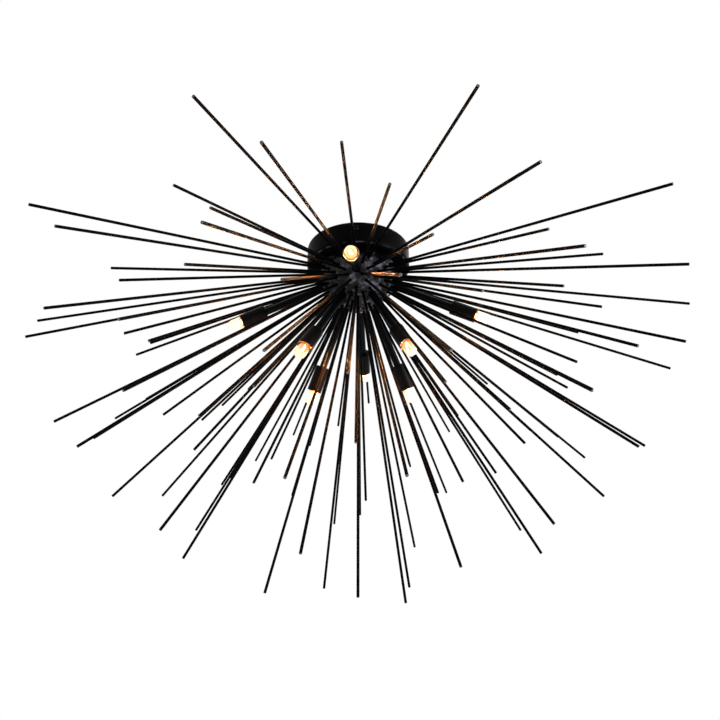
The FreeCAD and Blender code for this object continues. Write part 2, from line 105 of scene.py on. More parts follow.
# Points about the z axis: (r cos a, r sin a, z) for each radius and its column's angle.
def polarGrid(radius, angle, height):
    tall = np.broadcast_to(height, radius.shape)
    return np.stack([radius * np.cos(angle), radius * np.sin(angle), tall], 2)


# Turned surface: the point at step i and angle a is (r_i cos a, r_i sin a, z_i).
def turnedGrid(profile, sides):
    radius = np.broadcast_to(profile[:, :1], (len(profile), sides))
    return polarGrid(radius, anglesOf(sides), profile[:, 1:])


# Tube along a path: the point at step i and angle a is the path point plus the radius times
# (normal cos a + binormal sin a), with the normal taken square to the path from a hint.
def tubeGrid(path, hint, radius, sides):
    along = np.gradient(path, axis=0)
    along /= np.linalg.norm(along, axis=1, keepdims=True)
    normal = hint - (hint * along).sum(1, keepdims=True) * along
    normal /= np.linalg.norm(normal, axis=1, keepdims=True)
    binormal = np.cross(along, normal)
    angle = anglesOf(sides)[:, None]
    ring = normal[:, None] * np.cos(angle) + binormal[:, None] * np.sin(angle)
    return path[:, None] + radius * ring


# A first and a last row shrunk to their middles, which close the ends of a tube.
def capped(grid):
    ends = [np.broadcast_to(grid[row].mean(0), grid[row].shape)[None] for row in (0, -1)]
    return np.concatenate([ends[0], grid, ends[1]])


# Quads between neighbouring rows and columns. The columns always close round, the rows if ringed.
def gridFaces(rows, columns, ringed):
    row = np.arange(rows if ringed else rows - 1)[:, None]
    column = np.arange(columns)[None]
    nextRow = (row + 1) % rows
    nextColumn = (column + 1) % columns
    corners = [row * columns + column, row * columns + nextColumn,
               nextRow * columns + nextColumn, nextRow * columns + column]
    return np.stack(corners, -1).reshape(-1, 4)


# A grid as points, quads, one mark for each point, and the finish number of each quad. Marks and
# finish are one value, or one for each row.
def shapeOf(grid, ringed=False, marks=0.0, finish=0):
    rows, columns = grid.shape[:2]
    faces = gridFaces(rows, columns, ringed)
    rowMarks = np.broadcast_to(np.asarray(marks, float), (rows,))
    rowFinish = np.broadcast_to(finish, (len(faces) // columns,))
    return {"points": grid.reshape(-1, 3), "faces": faces,
            "marks": np.repeat(rowMarks, columns), "finish": np.repeat(rowFinish, columns)}


def joined(shapes):
    counts = [len(shape["points"]) for shape in shapes]
    starts = np.concatenate([[0], np.cumsum(counts)[:-1]])
    whole = {}
    for key in ("points", "marks", "finish"):
        whole[key] = np.concatenate([shape[key] for shape in shapes])
    whole["faces"] = np.concatenate([shape["faces"] + start for shape, start in zip(shapes, starts)])
    return whole


# The shortest turn from +Z to each way: the identity, plus the cross matrix of z and the way, plus
# its square over one plus their cosine. Straight down is a half turn about X.
def turnsTo(ways):
    cosine = ways[:, 2]
    cross = np.zeros((len(ways), 3, 3))
    cross[:, 0, 2] = ways[:, 0]
    cross[:, 1, 2] = ways[:, 1]
    cross[:, 2, 0] = -ways[:, 0]
    cross[:, 2, 1] = -ways[:, 1]
    down = cosine < downCosine
    share = 1 / np.where(down, 1.0, 1 + cosine)
    turns = np.eye(3) + cross + (cross @ cross) * share[:, None, None]
    turns[down] = np.diag([1.0, -1.0, -1.0])
    return turns


# Copies of a shape drawn along +Z, turned to each way and set at the hub's centre.
def aimed(shape, ways):
    ways = np.atleast_2d(ways)
    points = np.einsum("kij,nj->kni", turnsTo(ways), shape["points"]) + hubCentre
    shift = np.arange(len(ways))[:, None, None] * len(shape["points"])
    return {"points": points.reshape(-1, 3), "faces": (shape["faces"] + shift).reshape(-1, 4),
            "marks": np.tile(shape["marks"], len(ways)),
            "finish": np.tile(shape["finish"], len(ways))}


def lifted(shape, height):
    return {**shape, "points": shape["points"] + [0.0, 0.0, height]}


# A finished mesh: poles and seams merged, smooth but for edges sharper than the crease in degrees.
def makePiece(name, shape, finishes, body, nodes, markName="rub", crease=32):
    mesh = bpy.data.meshes.new(name)
    mesh.from_pydata(shape["points"] * mm, [], shape["faces"])
    mesh.polygons.foreach_set("material_index", shape["finish"].astype(np.int32))
    marks = mesh.attributes.new(markName, "FLOAT", "POINT")
    marks.data.foreach_set("value", shape["marks"].astype(np.float32))
    work = bmesh.new()
    work.from_mesh(mesh)
    bmesh.ops.remove_doubles(work, verts=work.verts, dist=seamGap)
    work.to_mesh(mesh)
    work.free()
    mesh.shade_smooth()
    mesh.set_sharp_from_angle(angle=math.radians(crease))
    for finish in finishes:
        mesh.materials.append(finish)
    piece = bpy.data.objects.new(name, mesh)
    scene.collection.objects.link(piece)
    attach(piece, body)
    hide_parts(*nodes)


# Shader building

def addNode(tree, kind, inputs=None, **settings):
    made = tree.nodes.new(kind)
    for key, value in settings.items():
        setattr(made, key, value)
    for key, value in (inputs or {}).items():
        if isinstance(value, bpy.types.NodeSocket):
            tree.links.new(value, made.inputs[key])
        else:
            made.inputs[key].default_value = value
    return made


def objectPlace(tree):
    return tree.nodes.new("ShaderNodeTexCoord").outputs["Object"]


def marksOf(tree, name):
    return addNode(tree, "ShaderNodeAttribute", attribute_name=name).outputs["Fac"]


def noise(tree, where, scale, detail=2.0):
    inputs = {"Vector": where, "Scale": scale, "Detail": detail}
    return addNode(tree, "ShaderNodeTexNoise", inputs).outputs[0]


def sums(tree, operation, *terms, clamp=False):
    return addNode(tree, "ShaderNodeMath", dict(enumerate(terms)), operation=operation,
                   use_clamp=clamp).outputs[0]


def mixColour(tree, share, first, second):
    inputs = {0: share, 6: first, 7: second}
    return addNode(tree, "ShaderNodeMix", inputs, data_type="RGBA").outputs[2]


# A smooth step from 0 at the low value to 1 at the high one.
def stretched(tree, value, low, high):
    return addNode(tree, "ShaderNodeMapRange", {"Value": value, "From Min": low, "From Max": high},
                   interpolation_type="SMOOTHSTEP").outputs[0]


def newGroup(name, inputs, outputs):
    group = bpy.data.node_groups.new(name, "ShaderNodeTree")
    for label, start in inputs.items():
        kind = "NodeSocketColor" if isinstance(start, tuple) else "NodeSocketFloat"
        socket = group.interface.new_socket(label, in_out="INPUT", socket_type=kind)
        socket.default_value = start
    for label, kind in outputs.items():
        group.interface.new_socket(label, in_out="OUTPUT", socket_type="NodeSocket" + kind)
    given = group.nodes.new("NodeGroupInput").outputs
    return group, given, group.nodes.new("NodeGroupOutput").inputs


def rgb(red, green, blue):
    return (red, green, blue, 1.0)


paintGrain = {
    "gritFiner": 4.0, "gritShare": 0.25,                    # grit in the orange peel
    "raggedSpan": 0.7, "bareFrom": 0.35, "bareTo": 0.85,    # how rubbing frays, and where it bares
    "cloudSpan": 0.45,
}


# Sprayed paint: cloudy tone, which on the hub is painted reflection, orange peel and fine grit, rubbed
# where the marks say so, which on the canopy's bend and the rods' ends is a painted highlight.
def makePaintGroup():
    group, given, out = newGroup("sprayedPaint", {
        "Paint": rgb(0.01, 0.01, 0.01), "Haze": rgb(0.02, 0.02, 0.02), "Rubbed": rgb(0.3, 0.3, 0.3),
        "Gloss": 0.3, "Gloss Spread": 0.1, "Peel Scale": 700.0, "Wear": 1.0,
        "Cloud Scale": 26.0, "Cloud Low": 0.3, "Ragged Scale": 900.0,
    }, {"Colour": "Color", "Roughness": "Float", "Bare": "Float", "Height": "Float"})
    grain = paintGrain
    where = objectPlace(group)
    cloud = noise(group, where, given["Cloud Scale"], detail=4.0)
    peel = noise(group, where, given["Peel Scale"], detail=1.0)
    gritScale = sums(group, "MULTIPLY", given["Peel Scale"], grain["gritFiner"])
    grit = noise(group, where, gritScale, detail=1.0)
    fray = noise(group, where, given["Ragged Scale"], detail=3.0)
    ragged = sums(group, "MULTIPLY_ADD", fray, grain["raggedSpan"], -grain["raggedSpan"] / 2)
    wornAndSheen = sums(group, "MULTIPLY", marksOf(group, "rub"), given["Wear"])
    wornAndSheen = sums(group, "ADD", wornAndSheen, ragged)
    bare = stretched(group, wornAndSheen, grain["bareFrom"], grain["bareTo"])
    cloudHigh = sums(group, "ADD", given["Cloud Low"], grain["cloudSpan"])
    hazeAndSheenShare = stretched(group, cloud, given["Cloud Low"], cloudHigh)
    tone = mixColour(group, hazeAndSheenShare, given["Paint"], given["Haze"])
    group.links.new(mixColour(group, bare, tone, given["Rubbed"]), out["Colour"])
    uneven = sums(group, "MULTIPLY", sums(group, "ADD", cloud, peel), given["Gloss Spread"])
    group.links.new(sums(group, "ADD", given["Gloss"], uneven, clamp=True), out["Roughness"])
    group.links.new(bare, out["Bare"])
    height = sums(group, "MULTIPLY_ADD", grit, grain["gritShare"], peel)
    group.links.new(height, out["Height"])
    return group


metalGrain = {
    "squeeze": (14.0, 1.0, 14.0), "lineShare": 0.5, "cloudScale": 60.0,
    "toneFrom": 0.3, "toneTo": 0.7, "roughSpan": 0.25,
}


# Bare or plated metal: fine drawn lines across a cloudy tone.
def makeMetalGroup():
    group, given, out = newGroup("drawnMetal", {
        "Light": rgb(0.6, 0.6, 0.6), "Dark": rgb(0.4, 0.4, 0.4), "Shine": 0.3, "Line Scale": 90.0,
    }, {"Colour": "Color", "Roughness": "Float", "Height": "Float"})
    grain = metalGrain
    where = objectPlace(group)
    squeezed = addNode(group, "ShaderNodeMapping", {"Vector": where, "Scale": grain["squeeze"]})
    lines = noise(group, squeezed.outputs[0], given["Line Scale"], detail=3.0)
    cloud = noise(group, where, grain["cloudScale"], detail=4.0)
    cloudPart = sums(group, "MULTIPLY", cloud, 1 - grain["lineShare"])
    blend = sums(group, "MULTIPLY_ADD", lines, grain["lineShare"], cloudPart)
    tone = stretched(group, blend, grain["toneFrom"], grain["toneTo"])
    group.links.new(mixColour(group, tone, given["Dark"], given["Light"]), out["Colour"])
    rough = sums(group, "MULTIPLY_ADD", blend, grain["roughSpan"], given["Shine"], clamp=True)
    group.links.new(rough, out["Roughness"])
    group.links.new(lines, out["Height"])
    return group


paintGroup = makePaintGroup()
metalGroup = makeMetalGroup()
bumpStrength = 0.6


def newMaterial(name):
    material = bpy.data.materials.new(name)
    material.use_nodes = True
    tree = material.node_tree
    tree.nodes.clear()
    shader = tree.nodes.new("ShaderNodeBsdfPrincipled")
    addNode(tree, "ShaderNodeOutputMaterial", {"Surface": shader.outputs[0]}, name="ending")
    return material, tree, shader.inputs


def addBump(tree, height, depth, into):
    inputs = {"Height": height, "Strength": bumpStrength, "Distance": depth * mm}
    tree.links.new(addNode(tree, "ShaderNodeBump", inputs).outputs[0], into)


# A group's colour and roughness on a shader. Each of its sockets takes the look's value of that name.
def addSkin(tree, group, look, shader):
    skin = addNode(tree, "ShaderNodeGroup", node_tree=group)
    for socket in skin.inputs:
        socket.default_value = look[socket.name]
    tree.links.new(skin.outputs["Colour"], shader["Base Color"])
    tree.links.new(skin.outputs["Roughness"], shader["Roughness"])
    return skin.outputs


def makePaint(name, look):
    material, tree, shader = newMaterial(name)
    skin = addSkin(tree, paintGroup, look, shader)
    tree.links.new(skin["Bare"], shader["Metallic"])
    shader["Specular IOR Level"].default_value = look["shine"]
    addBump(tree, skin["Height"], look["peelDepth"], shader["Normal"])
    return material


def makeMetal(name, look):
    material, tree, shader = newMaterial(name)
    skin = addSkin(tree, metalGroup, look, shader)
    shader["Metallic"].default_value = 1.0
    addBump(tree, skin["Height"], look["lineDepth"], shader["Normal"])
    return material


satinBlack = {
    "Paint": rgb(0.0004, 0.0004, 0.00045), "Haze": rgb(0.0008, 0.0008, 0.001),
    "Rubbed": rgb(0.02, 0.02, 0.022),
    "Gloss": 0.30, "Gloss Spread": 0.12, "Peel Scale": 650.0, "Wear": 0.5,
    "Cloud Scale": 26.0, "Cloud Low": 0.3, "Ragged Scale": 900.0,
    "shine": 0.055, "peelDepth": 0.04,
}
# The canopy's rubbed colour is a painted highlight along the bend, and wear on the lip
canopyPaint = makePaint("canopySatinBlack", {
    **satinBlack, "Rubbed": rgb(0.17, 0.17, 0.19), "Wear": 1.0, "Ragged Scale": 170.0, "shine": 0.016,
})
lampPaint = makePaint("lampSatinBlack", {
    **satinBlack, "Rubbed": rgb(0.10, 0.10, 0.105), "Gloss": 0.26, "Peel Scale": 900.0, "Wear": 1.0,
    "peelDepth": 0.03,
})
# Inside of the sleeve: near-black paint in clouds, painted shade in the recess round the bulb
sleeveSoot = makePaint("sleeveSoot", {
    **satinBlack, "Paint": rgb(0.00003, 0.00003, 0.00003), "Haze": rgb(0.0004, 0.0004, 0.0004),
    "Gloss": 0.8, "Cloud Scale": 110.0, "Cloud Low": 0.4, "shine": 0.0,
})
rodPaint = makePaint("rodSatinBlack", {
    **satinBlack, "Rubbed": rgb(0.10, 0.10, 0.105), "Gloss": 0.50, "Gloss Spread": 0.06,
    "Peel Scale": 500.0, "Wear": 1.2, "shine": 0.015, "peelDepth": 0.002,
})
# The hub's lavender haze is painted reflection: pale patches in clouds where the glossy enamel mirrors the
# white room
hubPaint = makePaint("hubGlossBlack", {
    **satinBlack, "Haze": rgb(0.20, 0.18, 0.24), "Gloss": 0.16, "Gloss Spread": 0.10,
    "Peel Scale": 260.0, "Cloud Scale": 80.0, "Cloud Low": 0.48, "shine": 0.16, "peelDepth": 0.05,
})
groundPaint = makePaint("groundGreen", {
    **satinBlack, "Paint": rgb(0.02, 0.16, 0.04), "Haze": rgb(0.03, 0.22, 0.06), "shine": 0.5,
})
zincPlate = makeMetal("zincPlate", {
    "Light": rgb(0.66, 0.67, 0.70), "Dark": rgb(0.42, 0.43, 0.46), "Shine": 0.26, "Line Scale": 120.0,
    "lineDepth": 0.02,
})
threadBrass = makeMetal("threadBrass", {
    "Light": rgb(0.80, 0.60, 0.28), "Dark": rgb(0.55, 0.38, 0.15), "Shine": 0.22, "Line Scale": 160.0,
    "lineDepth": 0.015,
})
pinSteel = makeMetal("pinSteel", {
    "Light": rgb(0.62, 0.60, 0.57), "Dark": rgb(0.38, 0.36, 0.34), "Shine": 0.24, "Line Scale": 260.0,
    "lineDepth": 0.008,
})


ceramicLook = {
    "clay": rgb(0.70, 0.67, 0.60), "pale": rgb(0.80, 0.78, 0.72), "cloudScale": 240.0,
    "fleck": rgb(0.35, 0.31, 0.26), "fleckScale": 1500.0, "fleckFrom": 0.62, "fleckTo": 0.74,
    "burnt": rgb(0.002, 0.0016, 0.0012), "burntDepth": 8.0, "faceGap": 0.3,
    "shine": 0.1, "roughFrom": -0.6, "roughTo": 1.6, "peelDepth": 0.03,
}


# Glazed off-white ceramic with fine dark flecks, near black towards the bulb as painted shade: by the
# distance from the hub's centre, over the painted shade depth behind the holder's face.
def makeCeramic():
    look = ceramicLook
    material, tree, shader = newMaterial("holderCeramic")
    where = objectPlace(tree)
    place, way = next(iter(lampWays.items()))
    face = reachOf("lamp_holder_" + place, way)[1]
    ends = {0: where, 1: Vector(hubCentre * mm)}
    offset = addNode(tree, "ShaderNodeVectorMath", ends, operation="DISTANCE").outputs["Value"]
    paintedShadeFrom = (face - look["burntDepth"]) * mm
    paintedShadeTo = (face - look["faceGap"]) * mm
    burnt = stretched(tree, offset, paintedShadeFrom, paintedShadeTo)
    specks = noise(tree, where, look["fleckScale"])
    flecks = stretched(tree, specks, look["fleckFrom"], look["fleckTo"])
    cloud = noise(tree, where, look["cloudScale"], detail=3.0)
    clay = mixColour(tree, cloud, look["clay"], look["pale"])
    clay = mixColour(tree, flecks, clay, look["fleck"])
    tree.links.new(mixColour(tree, burnt, clay, look["burnt"]), shader["Base Color"])
    shader["Specular IOR Level"].default_value = look["shine"]
    rough = stretched(tree, cloud, look["roughFrom"], look["roughTo"])
    tree.links.new(rough, shader["Roughness"])
    addBump(tree, cloud, look["peelDepth"], shader["Normal"])
    return material


# Glass that bends what the eye sees through it, and lets the light of its filament straight out.
def letLightOut(tree, ending):
    path = tree.nodes.new("ShaderNodeLightPath").outputs
    surface = ending["Surface"].links[0].from_socket
    for ray in ("Is Diffuse Ray", "Is Shadow Ray"):
        clear = tree.nodes.new("ShaderNodeBsdfTransparent")
        mix = addNode(tree, "ShaderNodeMixShader", {0: path[ray], 1: surface, 2: clear.outputs[0]})
        surface = mix.outputs[0]
    tree.links.new(surface, ending["Surface"])


capsuleLook = {
    "bend": 1.47, "amber": rgb(1.0, 0.74, 0.46), "amberDensity": 300.0, "glowStrength": 0.8,
    "hazeScale": 300.0, "hazeFrom": 0.35, "hazeTo": 1.6, "hazeRough": 0.015,
}
capsuleGlowTint = {         # painted warm glow: tint of the glass by its mark
    0.0: rgb(1.0, 1.0, 1.0), 0.1: rgb(1.0, 0.40, 0.06),
    0.3: rgb(1.0, 0.74, 0.46), 0.6: rgb(1.0, 0.96, 0.90),
}
capsuleFlood = {         # its light by its mark
    0.0: rgb(0.0, 0.0, 0.0), 0.15: rgb(0.50, 0.18, 0.03),
    0.5: rgb(0.90, 0.52, 0.22), 1.0: rgb(1.0, 0.90, 0.76),
}


# A colour ramp whose first stop is at 0.
def rampOf(tree, share, colours):
    ramp = addNode(tree, "ShaderNodeValToRGB", {"Fac": share})
    stops = ramp.color_ramp.elements
    stops.remove(stops[1])
    for place, colour in colours.items():
        stop = stops[0] if place == 0.0 else stops.new(place)
        stop.color = colour
    return ramp.outputs[0]


# Clear glass whose amber tint is a painted warm glow at its edges. Its inner wall is marked: tinted amber
# towards the sleeve as painted glow, and bright where the filament floods it.
def makeGlass():
    look = capsuleLook
    material, tree, shader = newMaterial("capsuleGlass")
    ending = tree.nodes["ending"].inputs
    haze = noise(tree, objectPlace(tree), look["hazeScale"])
    haze = stretched(tree, haze, look["hazeFrom"], look["hazeTo"])
    tree.links.new(sums(tree, "MULTIPLY", haze, look["hazeRough"]), shader["Roughness"])
    shader["Transmission Weight"].default_value = 1.0
    shader["IOR"].default_value = look["bend"]
    marks = marksOf(tree, "glow")
    tree.links.new(rampOf(tree, marks, capsuleGlowTint), shader["Base Color"])
    tree.links.new(rampOf(tree, marks, capsuleFlood), shader["Emission Color"])
    shader["Emission Strength"].default_value = look["glowStrength"]
    # the amber absorption is a painted warm glow along the glass's edges
    inputs = {"Color": look["amber"], "Density": look["amberDensity"]}
    amber = addNode(tree, "ShaderNodeVolumeAbsorption", inputs)
    tree.links.new(amber.outputs[0], ending["Volume"])
    letLightOut(tree, ending)
    return material


filamentLook = {
    "dim": rgb(0.2, 0.19, 0.18), "pale": rgb(0.4, 0.38, 0.36), "grainScale": 2500.0, "rough": 0.5,
    "edge": rgb(0.9, 0.26, 0.05), "middle": rgb(1.0, 0.43, 0.14), "strength": 9000.0,
}


# Grainy wire that glows, redder at its ends.
def makeGlowWire():
    look = filamentLook
    material, tree, shader = newMaterial("glowingTungsten")
    grain = noise(tree, objectPlace(tree), look["grainScale"])
    tree.links.new(mixColour(tree, grain, look["dim"], look["pale"]), shader["Base Color"])
    warm = mixColour(tree, marksOf(tree, "glow"), look["edge"], look["middle"])
    tree.links.new(warm, shader["Emission Color"])
    shader["Emission Strength"].default_value = look["strength"]
    shader["Roughness"].default_value = look["rough"]
    return material


holderCeramic = makeCeramic()
capsuleGlass = makeGlass()
glowWire = makeGlowWire()
print("finishes:", len(bpy.data.materials), "materials,", len(bpy.data.node_groups), "groups")


# Rods

rodSizes = {
    "radius": 1.6, "long": 400.0, "short": 297.0, "sides": 12, "tipBevel": 0.3,
    "beadRise": 1.3, "beadReach": 4.0, "beadSteps": 3, "sink": 0.4,
}
# Node, drop below level, first azimuth, and what each slot holds: L or S for a rod, O for a lamp.
rodRings = [
    ("rods_ring_1", 8.0, 0.0, "SLSLSLSLSLSLSLSLSLSL"),
    ("rods_ring_2", 16.2, 9.0, "SLSLSLSLSLSLSLSLSLSL"),
    ("rods_ring_3", 24.6, 0.0, "OSLSLOSLSLOSLSLOSLSL"),
    ("rods_ring_4", 32.6, 9.0, "LSLSLSLSLSLSLSLS"),
    ("rods_ring_5", 41.0, 18.0, "LLLLLLLLLLLL"),
    ("rods_ring_6", 51.0, 0.0, "SSSSSSSSSSSS"),
    ("rods_ring_7", 58.5, 15.0, "LOLLOLLOLLOL"),
    ("rods_ring_8", 67.0, 2.0, "SSSS"),
    ("rods_bottom", 73.0, 65.0, "LLLL"),
]


# Unit vectors for a drop below level and azimuths from the front: (cos d sin a, -cos d cos a, -sin d).
def waysAt(drop, azimuths):
    turn = np.radians(azimuths)
    level = math.cos(math.radians(drop))
    return np.stack([level * np.sin(turn), -level * np.cos(turn),
                     np.full(len(turn), -math.sin(math.radians(drop)))], 1)


# Weld bead of a root sunk in the ball: the radius grows by the rise times the square of what is left
# of the reach.
def beadProfile(radius, size):
    fall = np.linspace(0.0, 1.0, size["beadSteps"])
    start = hubRadius - size["sink"]
    return np.stack([radius + size["beadRise"] * (1 - fall) ** 2,
                     start + (size["beadReach"] + size["sink"]) * fall], 1)


# A rod: the weld bead, the bar and a bevelled end.
def rodShape(reach):
    radius = rodSizes["radius"]
    bevel = rodSizes["tipBevel"]
    profile = outline((0, hubRadius - rodSizes["sink"]), beadProfile(radius, rodSizes),
                      (radius, reach - bevel), (radius - bevel, reach), (0, reach))
    marks = np.zeros(len(profile))
    marks[-2:] = 1.0     # the sawn end shows steel, which is also a painted highlight on the flat end
    return shapeOf(turnedGrid(profile, rodSizes["sides"]), marks=marks)


rodShapes = {"L": rodShape(rodSizes["long"]), "S": rodShape(rodSizes["short"])}
rootWays = []
for ring, drop, start, run in rodRings:
    azimuths = start + 360.0 * np.arange(len(run)) / len(run)
    letters = np.array(list(run))
    shapes = []
    for letter, shape in rodShapes.items():
        ways = waysAt(drop, azimuths[letters == letter])
        if ring == "rods_bottom" and letter == "L":      # and one rod straight down
            ways = np.concatenate([ways, [[0.0, 0.0, -1.0]]])
        if len(ways):
            rootWays.append(ways)
            shapes.append(aimed(shape, ways))
    name = "rods" + ring.removeprefix("rods_").title().replace("_", "")
    makePiece(name, joined(shapes), [rodPaint], "fixture", [ring])
rootWays = np.concatenate(rootWays)
print("rods:", len(rootWays))


# Hub

hubSizes = {
    "collar": 3.0, "rim": 3.0, "wall": 10.0, "edge": 0.5, "edgeSteps": 5, "edgeRub": 0.5,
    "rows": 110, "cavityRows": 24, "sides": 320, "beadRise": 1.8, "beadSpread": 3.8,
}


# Half ball swollen round each root: the radius grows by the rise times exp of minus the squared
# distance over the squared spread, for the nearest root.
def hubShape():
    size = hubSizes
    collar = size["collar"]
    edge = size["edge"]
    pocket = hubRadius - size["rim"]
    cavity = hubRadius - size["wall"]
    ball = arcPoints((0, 0), hubRadius, -90, 0, size["rows"])
    ball[0, 0] = 0.0
    grid = turnedGrid(ball, size["sides"])
    normals = grid / hubRadius
    roots = np.concatenate([rootWays, np.array(list(lampWays.values()))])
    nearest = np.arccos(np.clip(normals @ roots.T, -1, 1)).min(2) * hubRadius
    rise = size["beadRise"] * np.exp(-(nearest / size["beadSpread"]) ** 2)
    grid = grid + normals * rise[:, :, None]
    rest = outline(arcPoints((hubRadius - edge, collar - edge), edge, 0, 90, size["edgeSteps"]),
                   (pocket, collar), (pocket, 0), (cavity, 0),
                   arcPoints((0, 0), cavity, 0, -90, size["cavityRows"])[1:])
    rest[-1, 0] = 0.0
    grid = np.concatenate([grid, turnedGrid(rest, size["sides"])])
    marks = np.zeros(len(grid))
    marks[size["rows"] + 1:size["rows"] + size["edgeSteps"]] = size["edgeRub"]
    return lifted(shapeOf(grid, marks=marks), hubCentre[2])


makePiece("hubDome", hubShape(), [hubPaint], "fixture", ["hub_dome"])
print("hub dome")


# Canopy

canopySizes = {
    "wall": 1.2, "bend": 6.0, "hole": 5.25, "holeGap": 4.0, "bendGap": 1.0, "lip": 0.35, "rub": 0.42,
    "floorRows": 12, "bendRows": 14, "lipRows": 5, "innerRows": 10, "sides": 192,
}


# Spun cup: floor out from the hole, round the bend, up the wall, over the lip and back inside.
def canopyShape():
    size = canopySizes
    low, high = cornersOf("canopy")
    radius = high[0]
    floor = low[2]
    wall = size["wall"]
    bend = size["bend"]
    lip = size["lip"]
    hole = size["hole"]
    corner = (radius - bend, floor + bend)
    flat = np.linspace(hole + size["holeGap"], radius - bend - size["bendGap"], size["floorRows"])
    profile = outline(
        (hole, floor), np.stack([flat, np.full(len(flat), floor)], 1),
        arcPoints(corner, bend, -90, 0, size["bendRows"]), (radius, -bend),
        arcPoints((radius - lip, -lip), lip, 0, 90, size["lipRows"]),
        arcPoints((radius - wall + lip, -lip), lip, 90, 180, size["lipRows"]),
        arcPoints(corner, bend - wall, 0, -90, size["innerRows"]), (hole, floor + wall))
    bendStart = 1 + size["floorRows"]
    bendMiddle = bendStart + size["bendRows"] // 2
    lipStart = bendStart + size["bendRows"] + 1
    marks = np.zeros(len(profile))
    marks[bendMiddle - 1:bendMiddle + 2] = size["rub"]               # painted highlight in a ragged line along the bend
    marks[lipStart:lipStart + 2 * size["lipRows"]] = size["rub"]     # rubbed by the ceiling
    return shapeOf(turnedGrid(profile, size["sides"]), ringed=True, marks=marks)


makePiece("canopyCup", canopyShape(), [canopyPaint], "fixture", ["canopy"])
print("canopy")


# Lamps

armSizes = {"thread": 3.8, "beadRise": 1.3, "beadReach": 3.2, "beadSteps": 6, "sink": 0.6, "sides": 40}


# Tube from the ball to the sleeve, with a weld bead like a rod's and a thinner threaded end.
def armShape(armEnd, radius, sleeveStart):
    thread = armSizes["thread"]
    profile = outline((0, hubRadius - armSizes["sink"]), beadProfile(radius, armSizes),
                      (radius, sleeveStart), (thread, sleeveStart), (thread, armEnd), (0, armEnd))
    return shapeOf(turnedGrid(profile, armSizes["sides"]))


sleeveSizes = {
    "wall": 0.8, "base": 1.2, "shoulder": 1.5, "lip": 0.25, "hole": 3.85, "rub": 0.9,
    "shoulderRows": 8, "lipRows": 5, "sides": 72,
}


# Cup with a rounded shoulder and a soft lip: base, wall, lip, inside wall and floor.
def sleeveShape(start, end, outer):
    size = sleeveSizes
    inner = outer - size["wall"]
    shoulder = size["shoulder"]
    lip = size["lip"]
    hole = size["hole"]
    floor = start + size["base"]
    profile = outline(
        (hole, start),
        arcPoints((outer - shoulder, start + shoulder), shoulder, -90, 0, size["shoulderRows"]),
        arcPoints((outer - lip, end - lip), lip, 0, 90, size["lipRows"]),
        arcPoints((inner + lip, end - lip), lip, 90, 180, size["lipRows"]),
        (inner, end - 2 * lip), (inner, floor), (hole, floor))
    lipStart = 1 + size["shoulderRows"]
    lipEnd = lipStart + 2 * size["lipRows"]
    marks = np.zeros(len(profile))
    marks[lipStart + 2:lipEnd - 1] = size["rub"]         # the lip's edge
    finish = np.zeros(len(profile), int)
    finish[lipEnd - 2:] = 1                              # from the lip inwards, the near-black painted shade of the recess
    return shapeOf(turnedGrid(profile, size["sides"]), ringed=True, marks=marks, finish=finish)


capsuleSizes = {
    "wall": 0.9, "shoulder": 2.8, "square": 5.0, "sides": 56,
    "pinchWidth": 12.4, "pinchThick": 3.6, "pinchLength": 7.6, "pinchEdge": 0.4,
    "domeShare": 0.90, "domeLean": 80.0, "domeRows": 12,
    "pipRadius": 1.15, "pipSink": 0.15, "pipWaist": 0.92, "pipShoulder": 0.6, "pipRound": 0.1,
    "swellRows": 9, "hollowRows": 14, "bendRows": 7,
}
# Marks of the inner wall at its base, along it and at the dome's edge. The step up from the base has a
# start and a span, and the end's bright patch a spread.
capsuleGlow = {
    "base": 0.10, "wall": 0.60, "domeEdge": 0.30,
    "start": 6.5, "span": 6.5, "domeFade": 2.0, "tipSpread": 4.0,
}


# Rows of rounded oblongs: (a |cos|^(2/n), b |sin|^(2/n)) with the signs kept, at each height.
def oblongGrid(height, width, depth, square, sides):
    angle = anglesOf(sides)
    power = 2 / square[:, None]
    x = width[:, None] * np.sign(np.cos(angle)) * np.abs(np.cos(angle)) ** power
    y = depth[:, None] * np.sign(np.sin(angle)) * np.abs(np.sin(angle)) ** power
    return np.stack([x, y, np.broadcast_to(height[:, None], x.shape)], 2)


# Brightness of the inner wall: a smooth step up past the sleeve's mouth, a fall towards the dome's
# edge, and a round bright patch on the end.
def glowOf(hollow, floor, domeStart, domeRise):
    glow = capsuleGlow
    rise = np.clip((hollow[:, 1] - floor - glow["start"]) / glow["span"], 0.0, 1.0)
    wall = glow["base"] + (glow["wall"] - glow["base"]) * rise * rise * (3 - 2 * rise)
    climb = (hollow[:, 1] - domeStart) / domeRise
    fade = np.clip(1 - climb * glow["domeFade"], 0.0, 1.0)
    tip = np.exp(-(hollow[:, 0] / glow["tipSpread"]) ** 2)
    dome = glow["domeEdge"] + (glow["wall"] - glow["domeEdge"]) * fade
    return np.where(climb > 0, dome + (1 - dome) * tip * (1 - fade), wall)


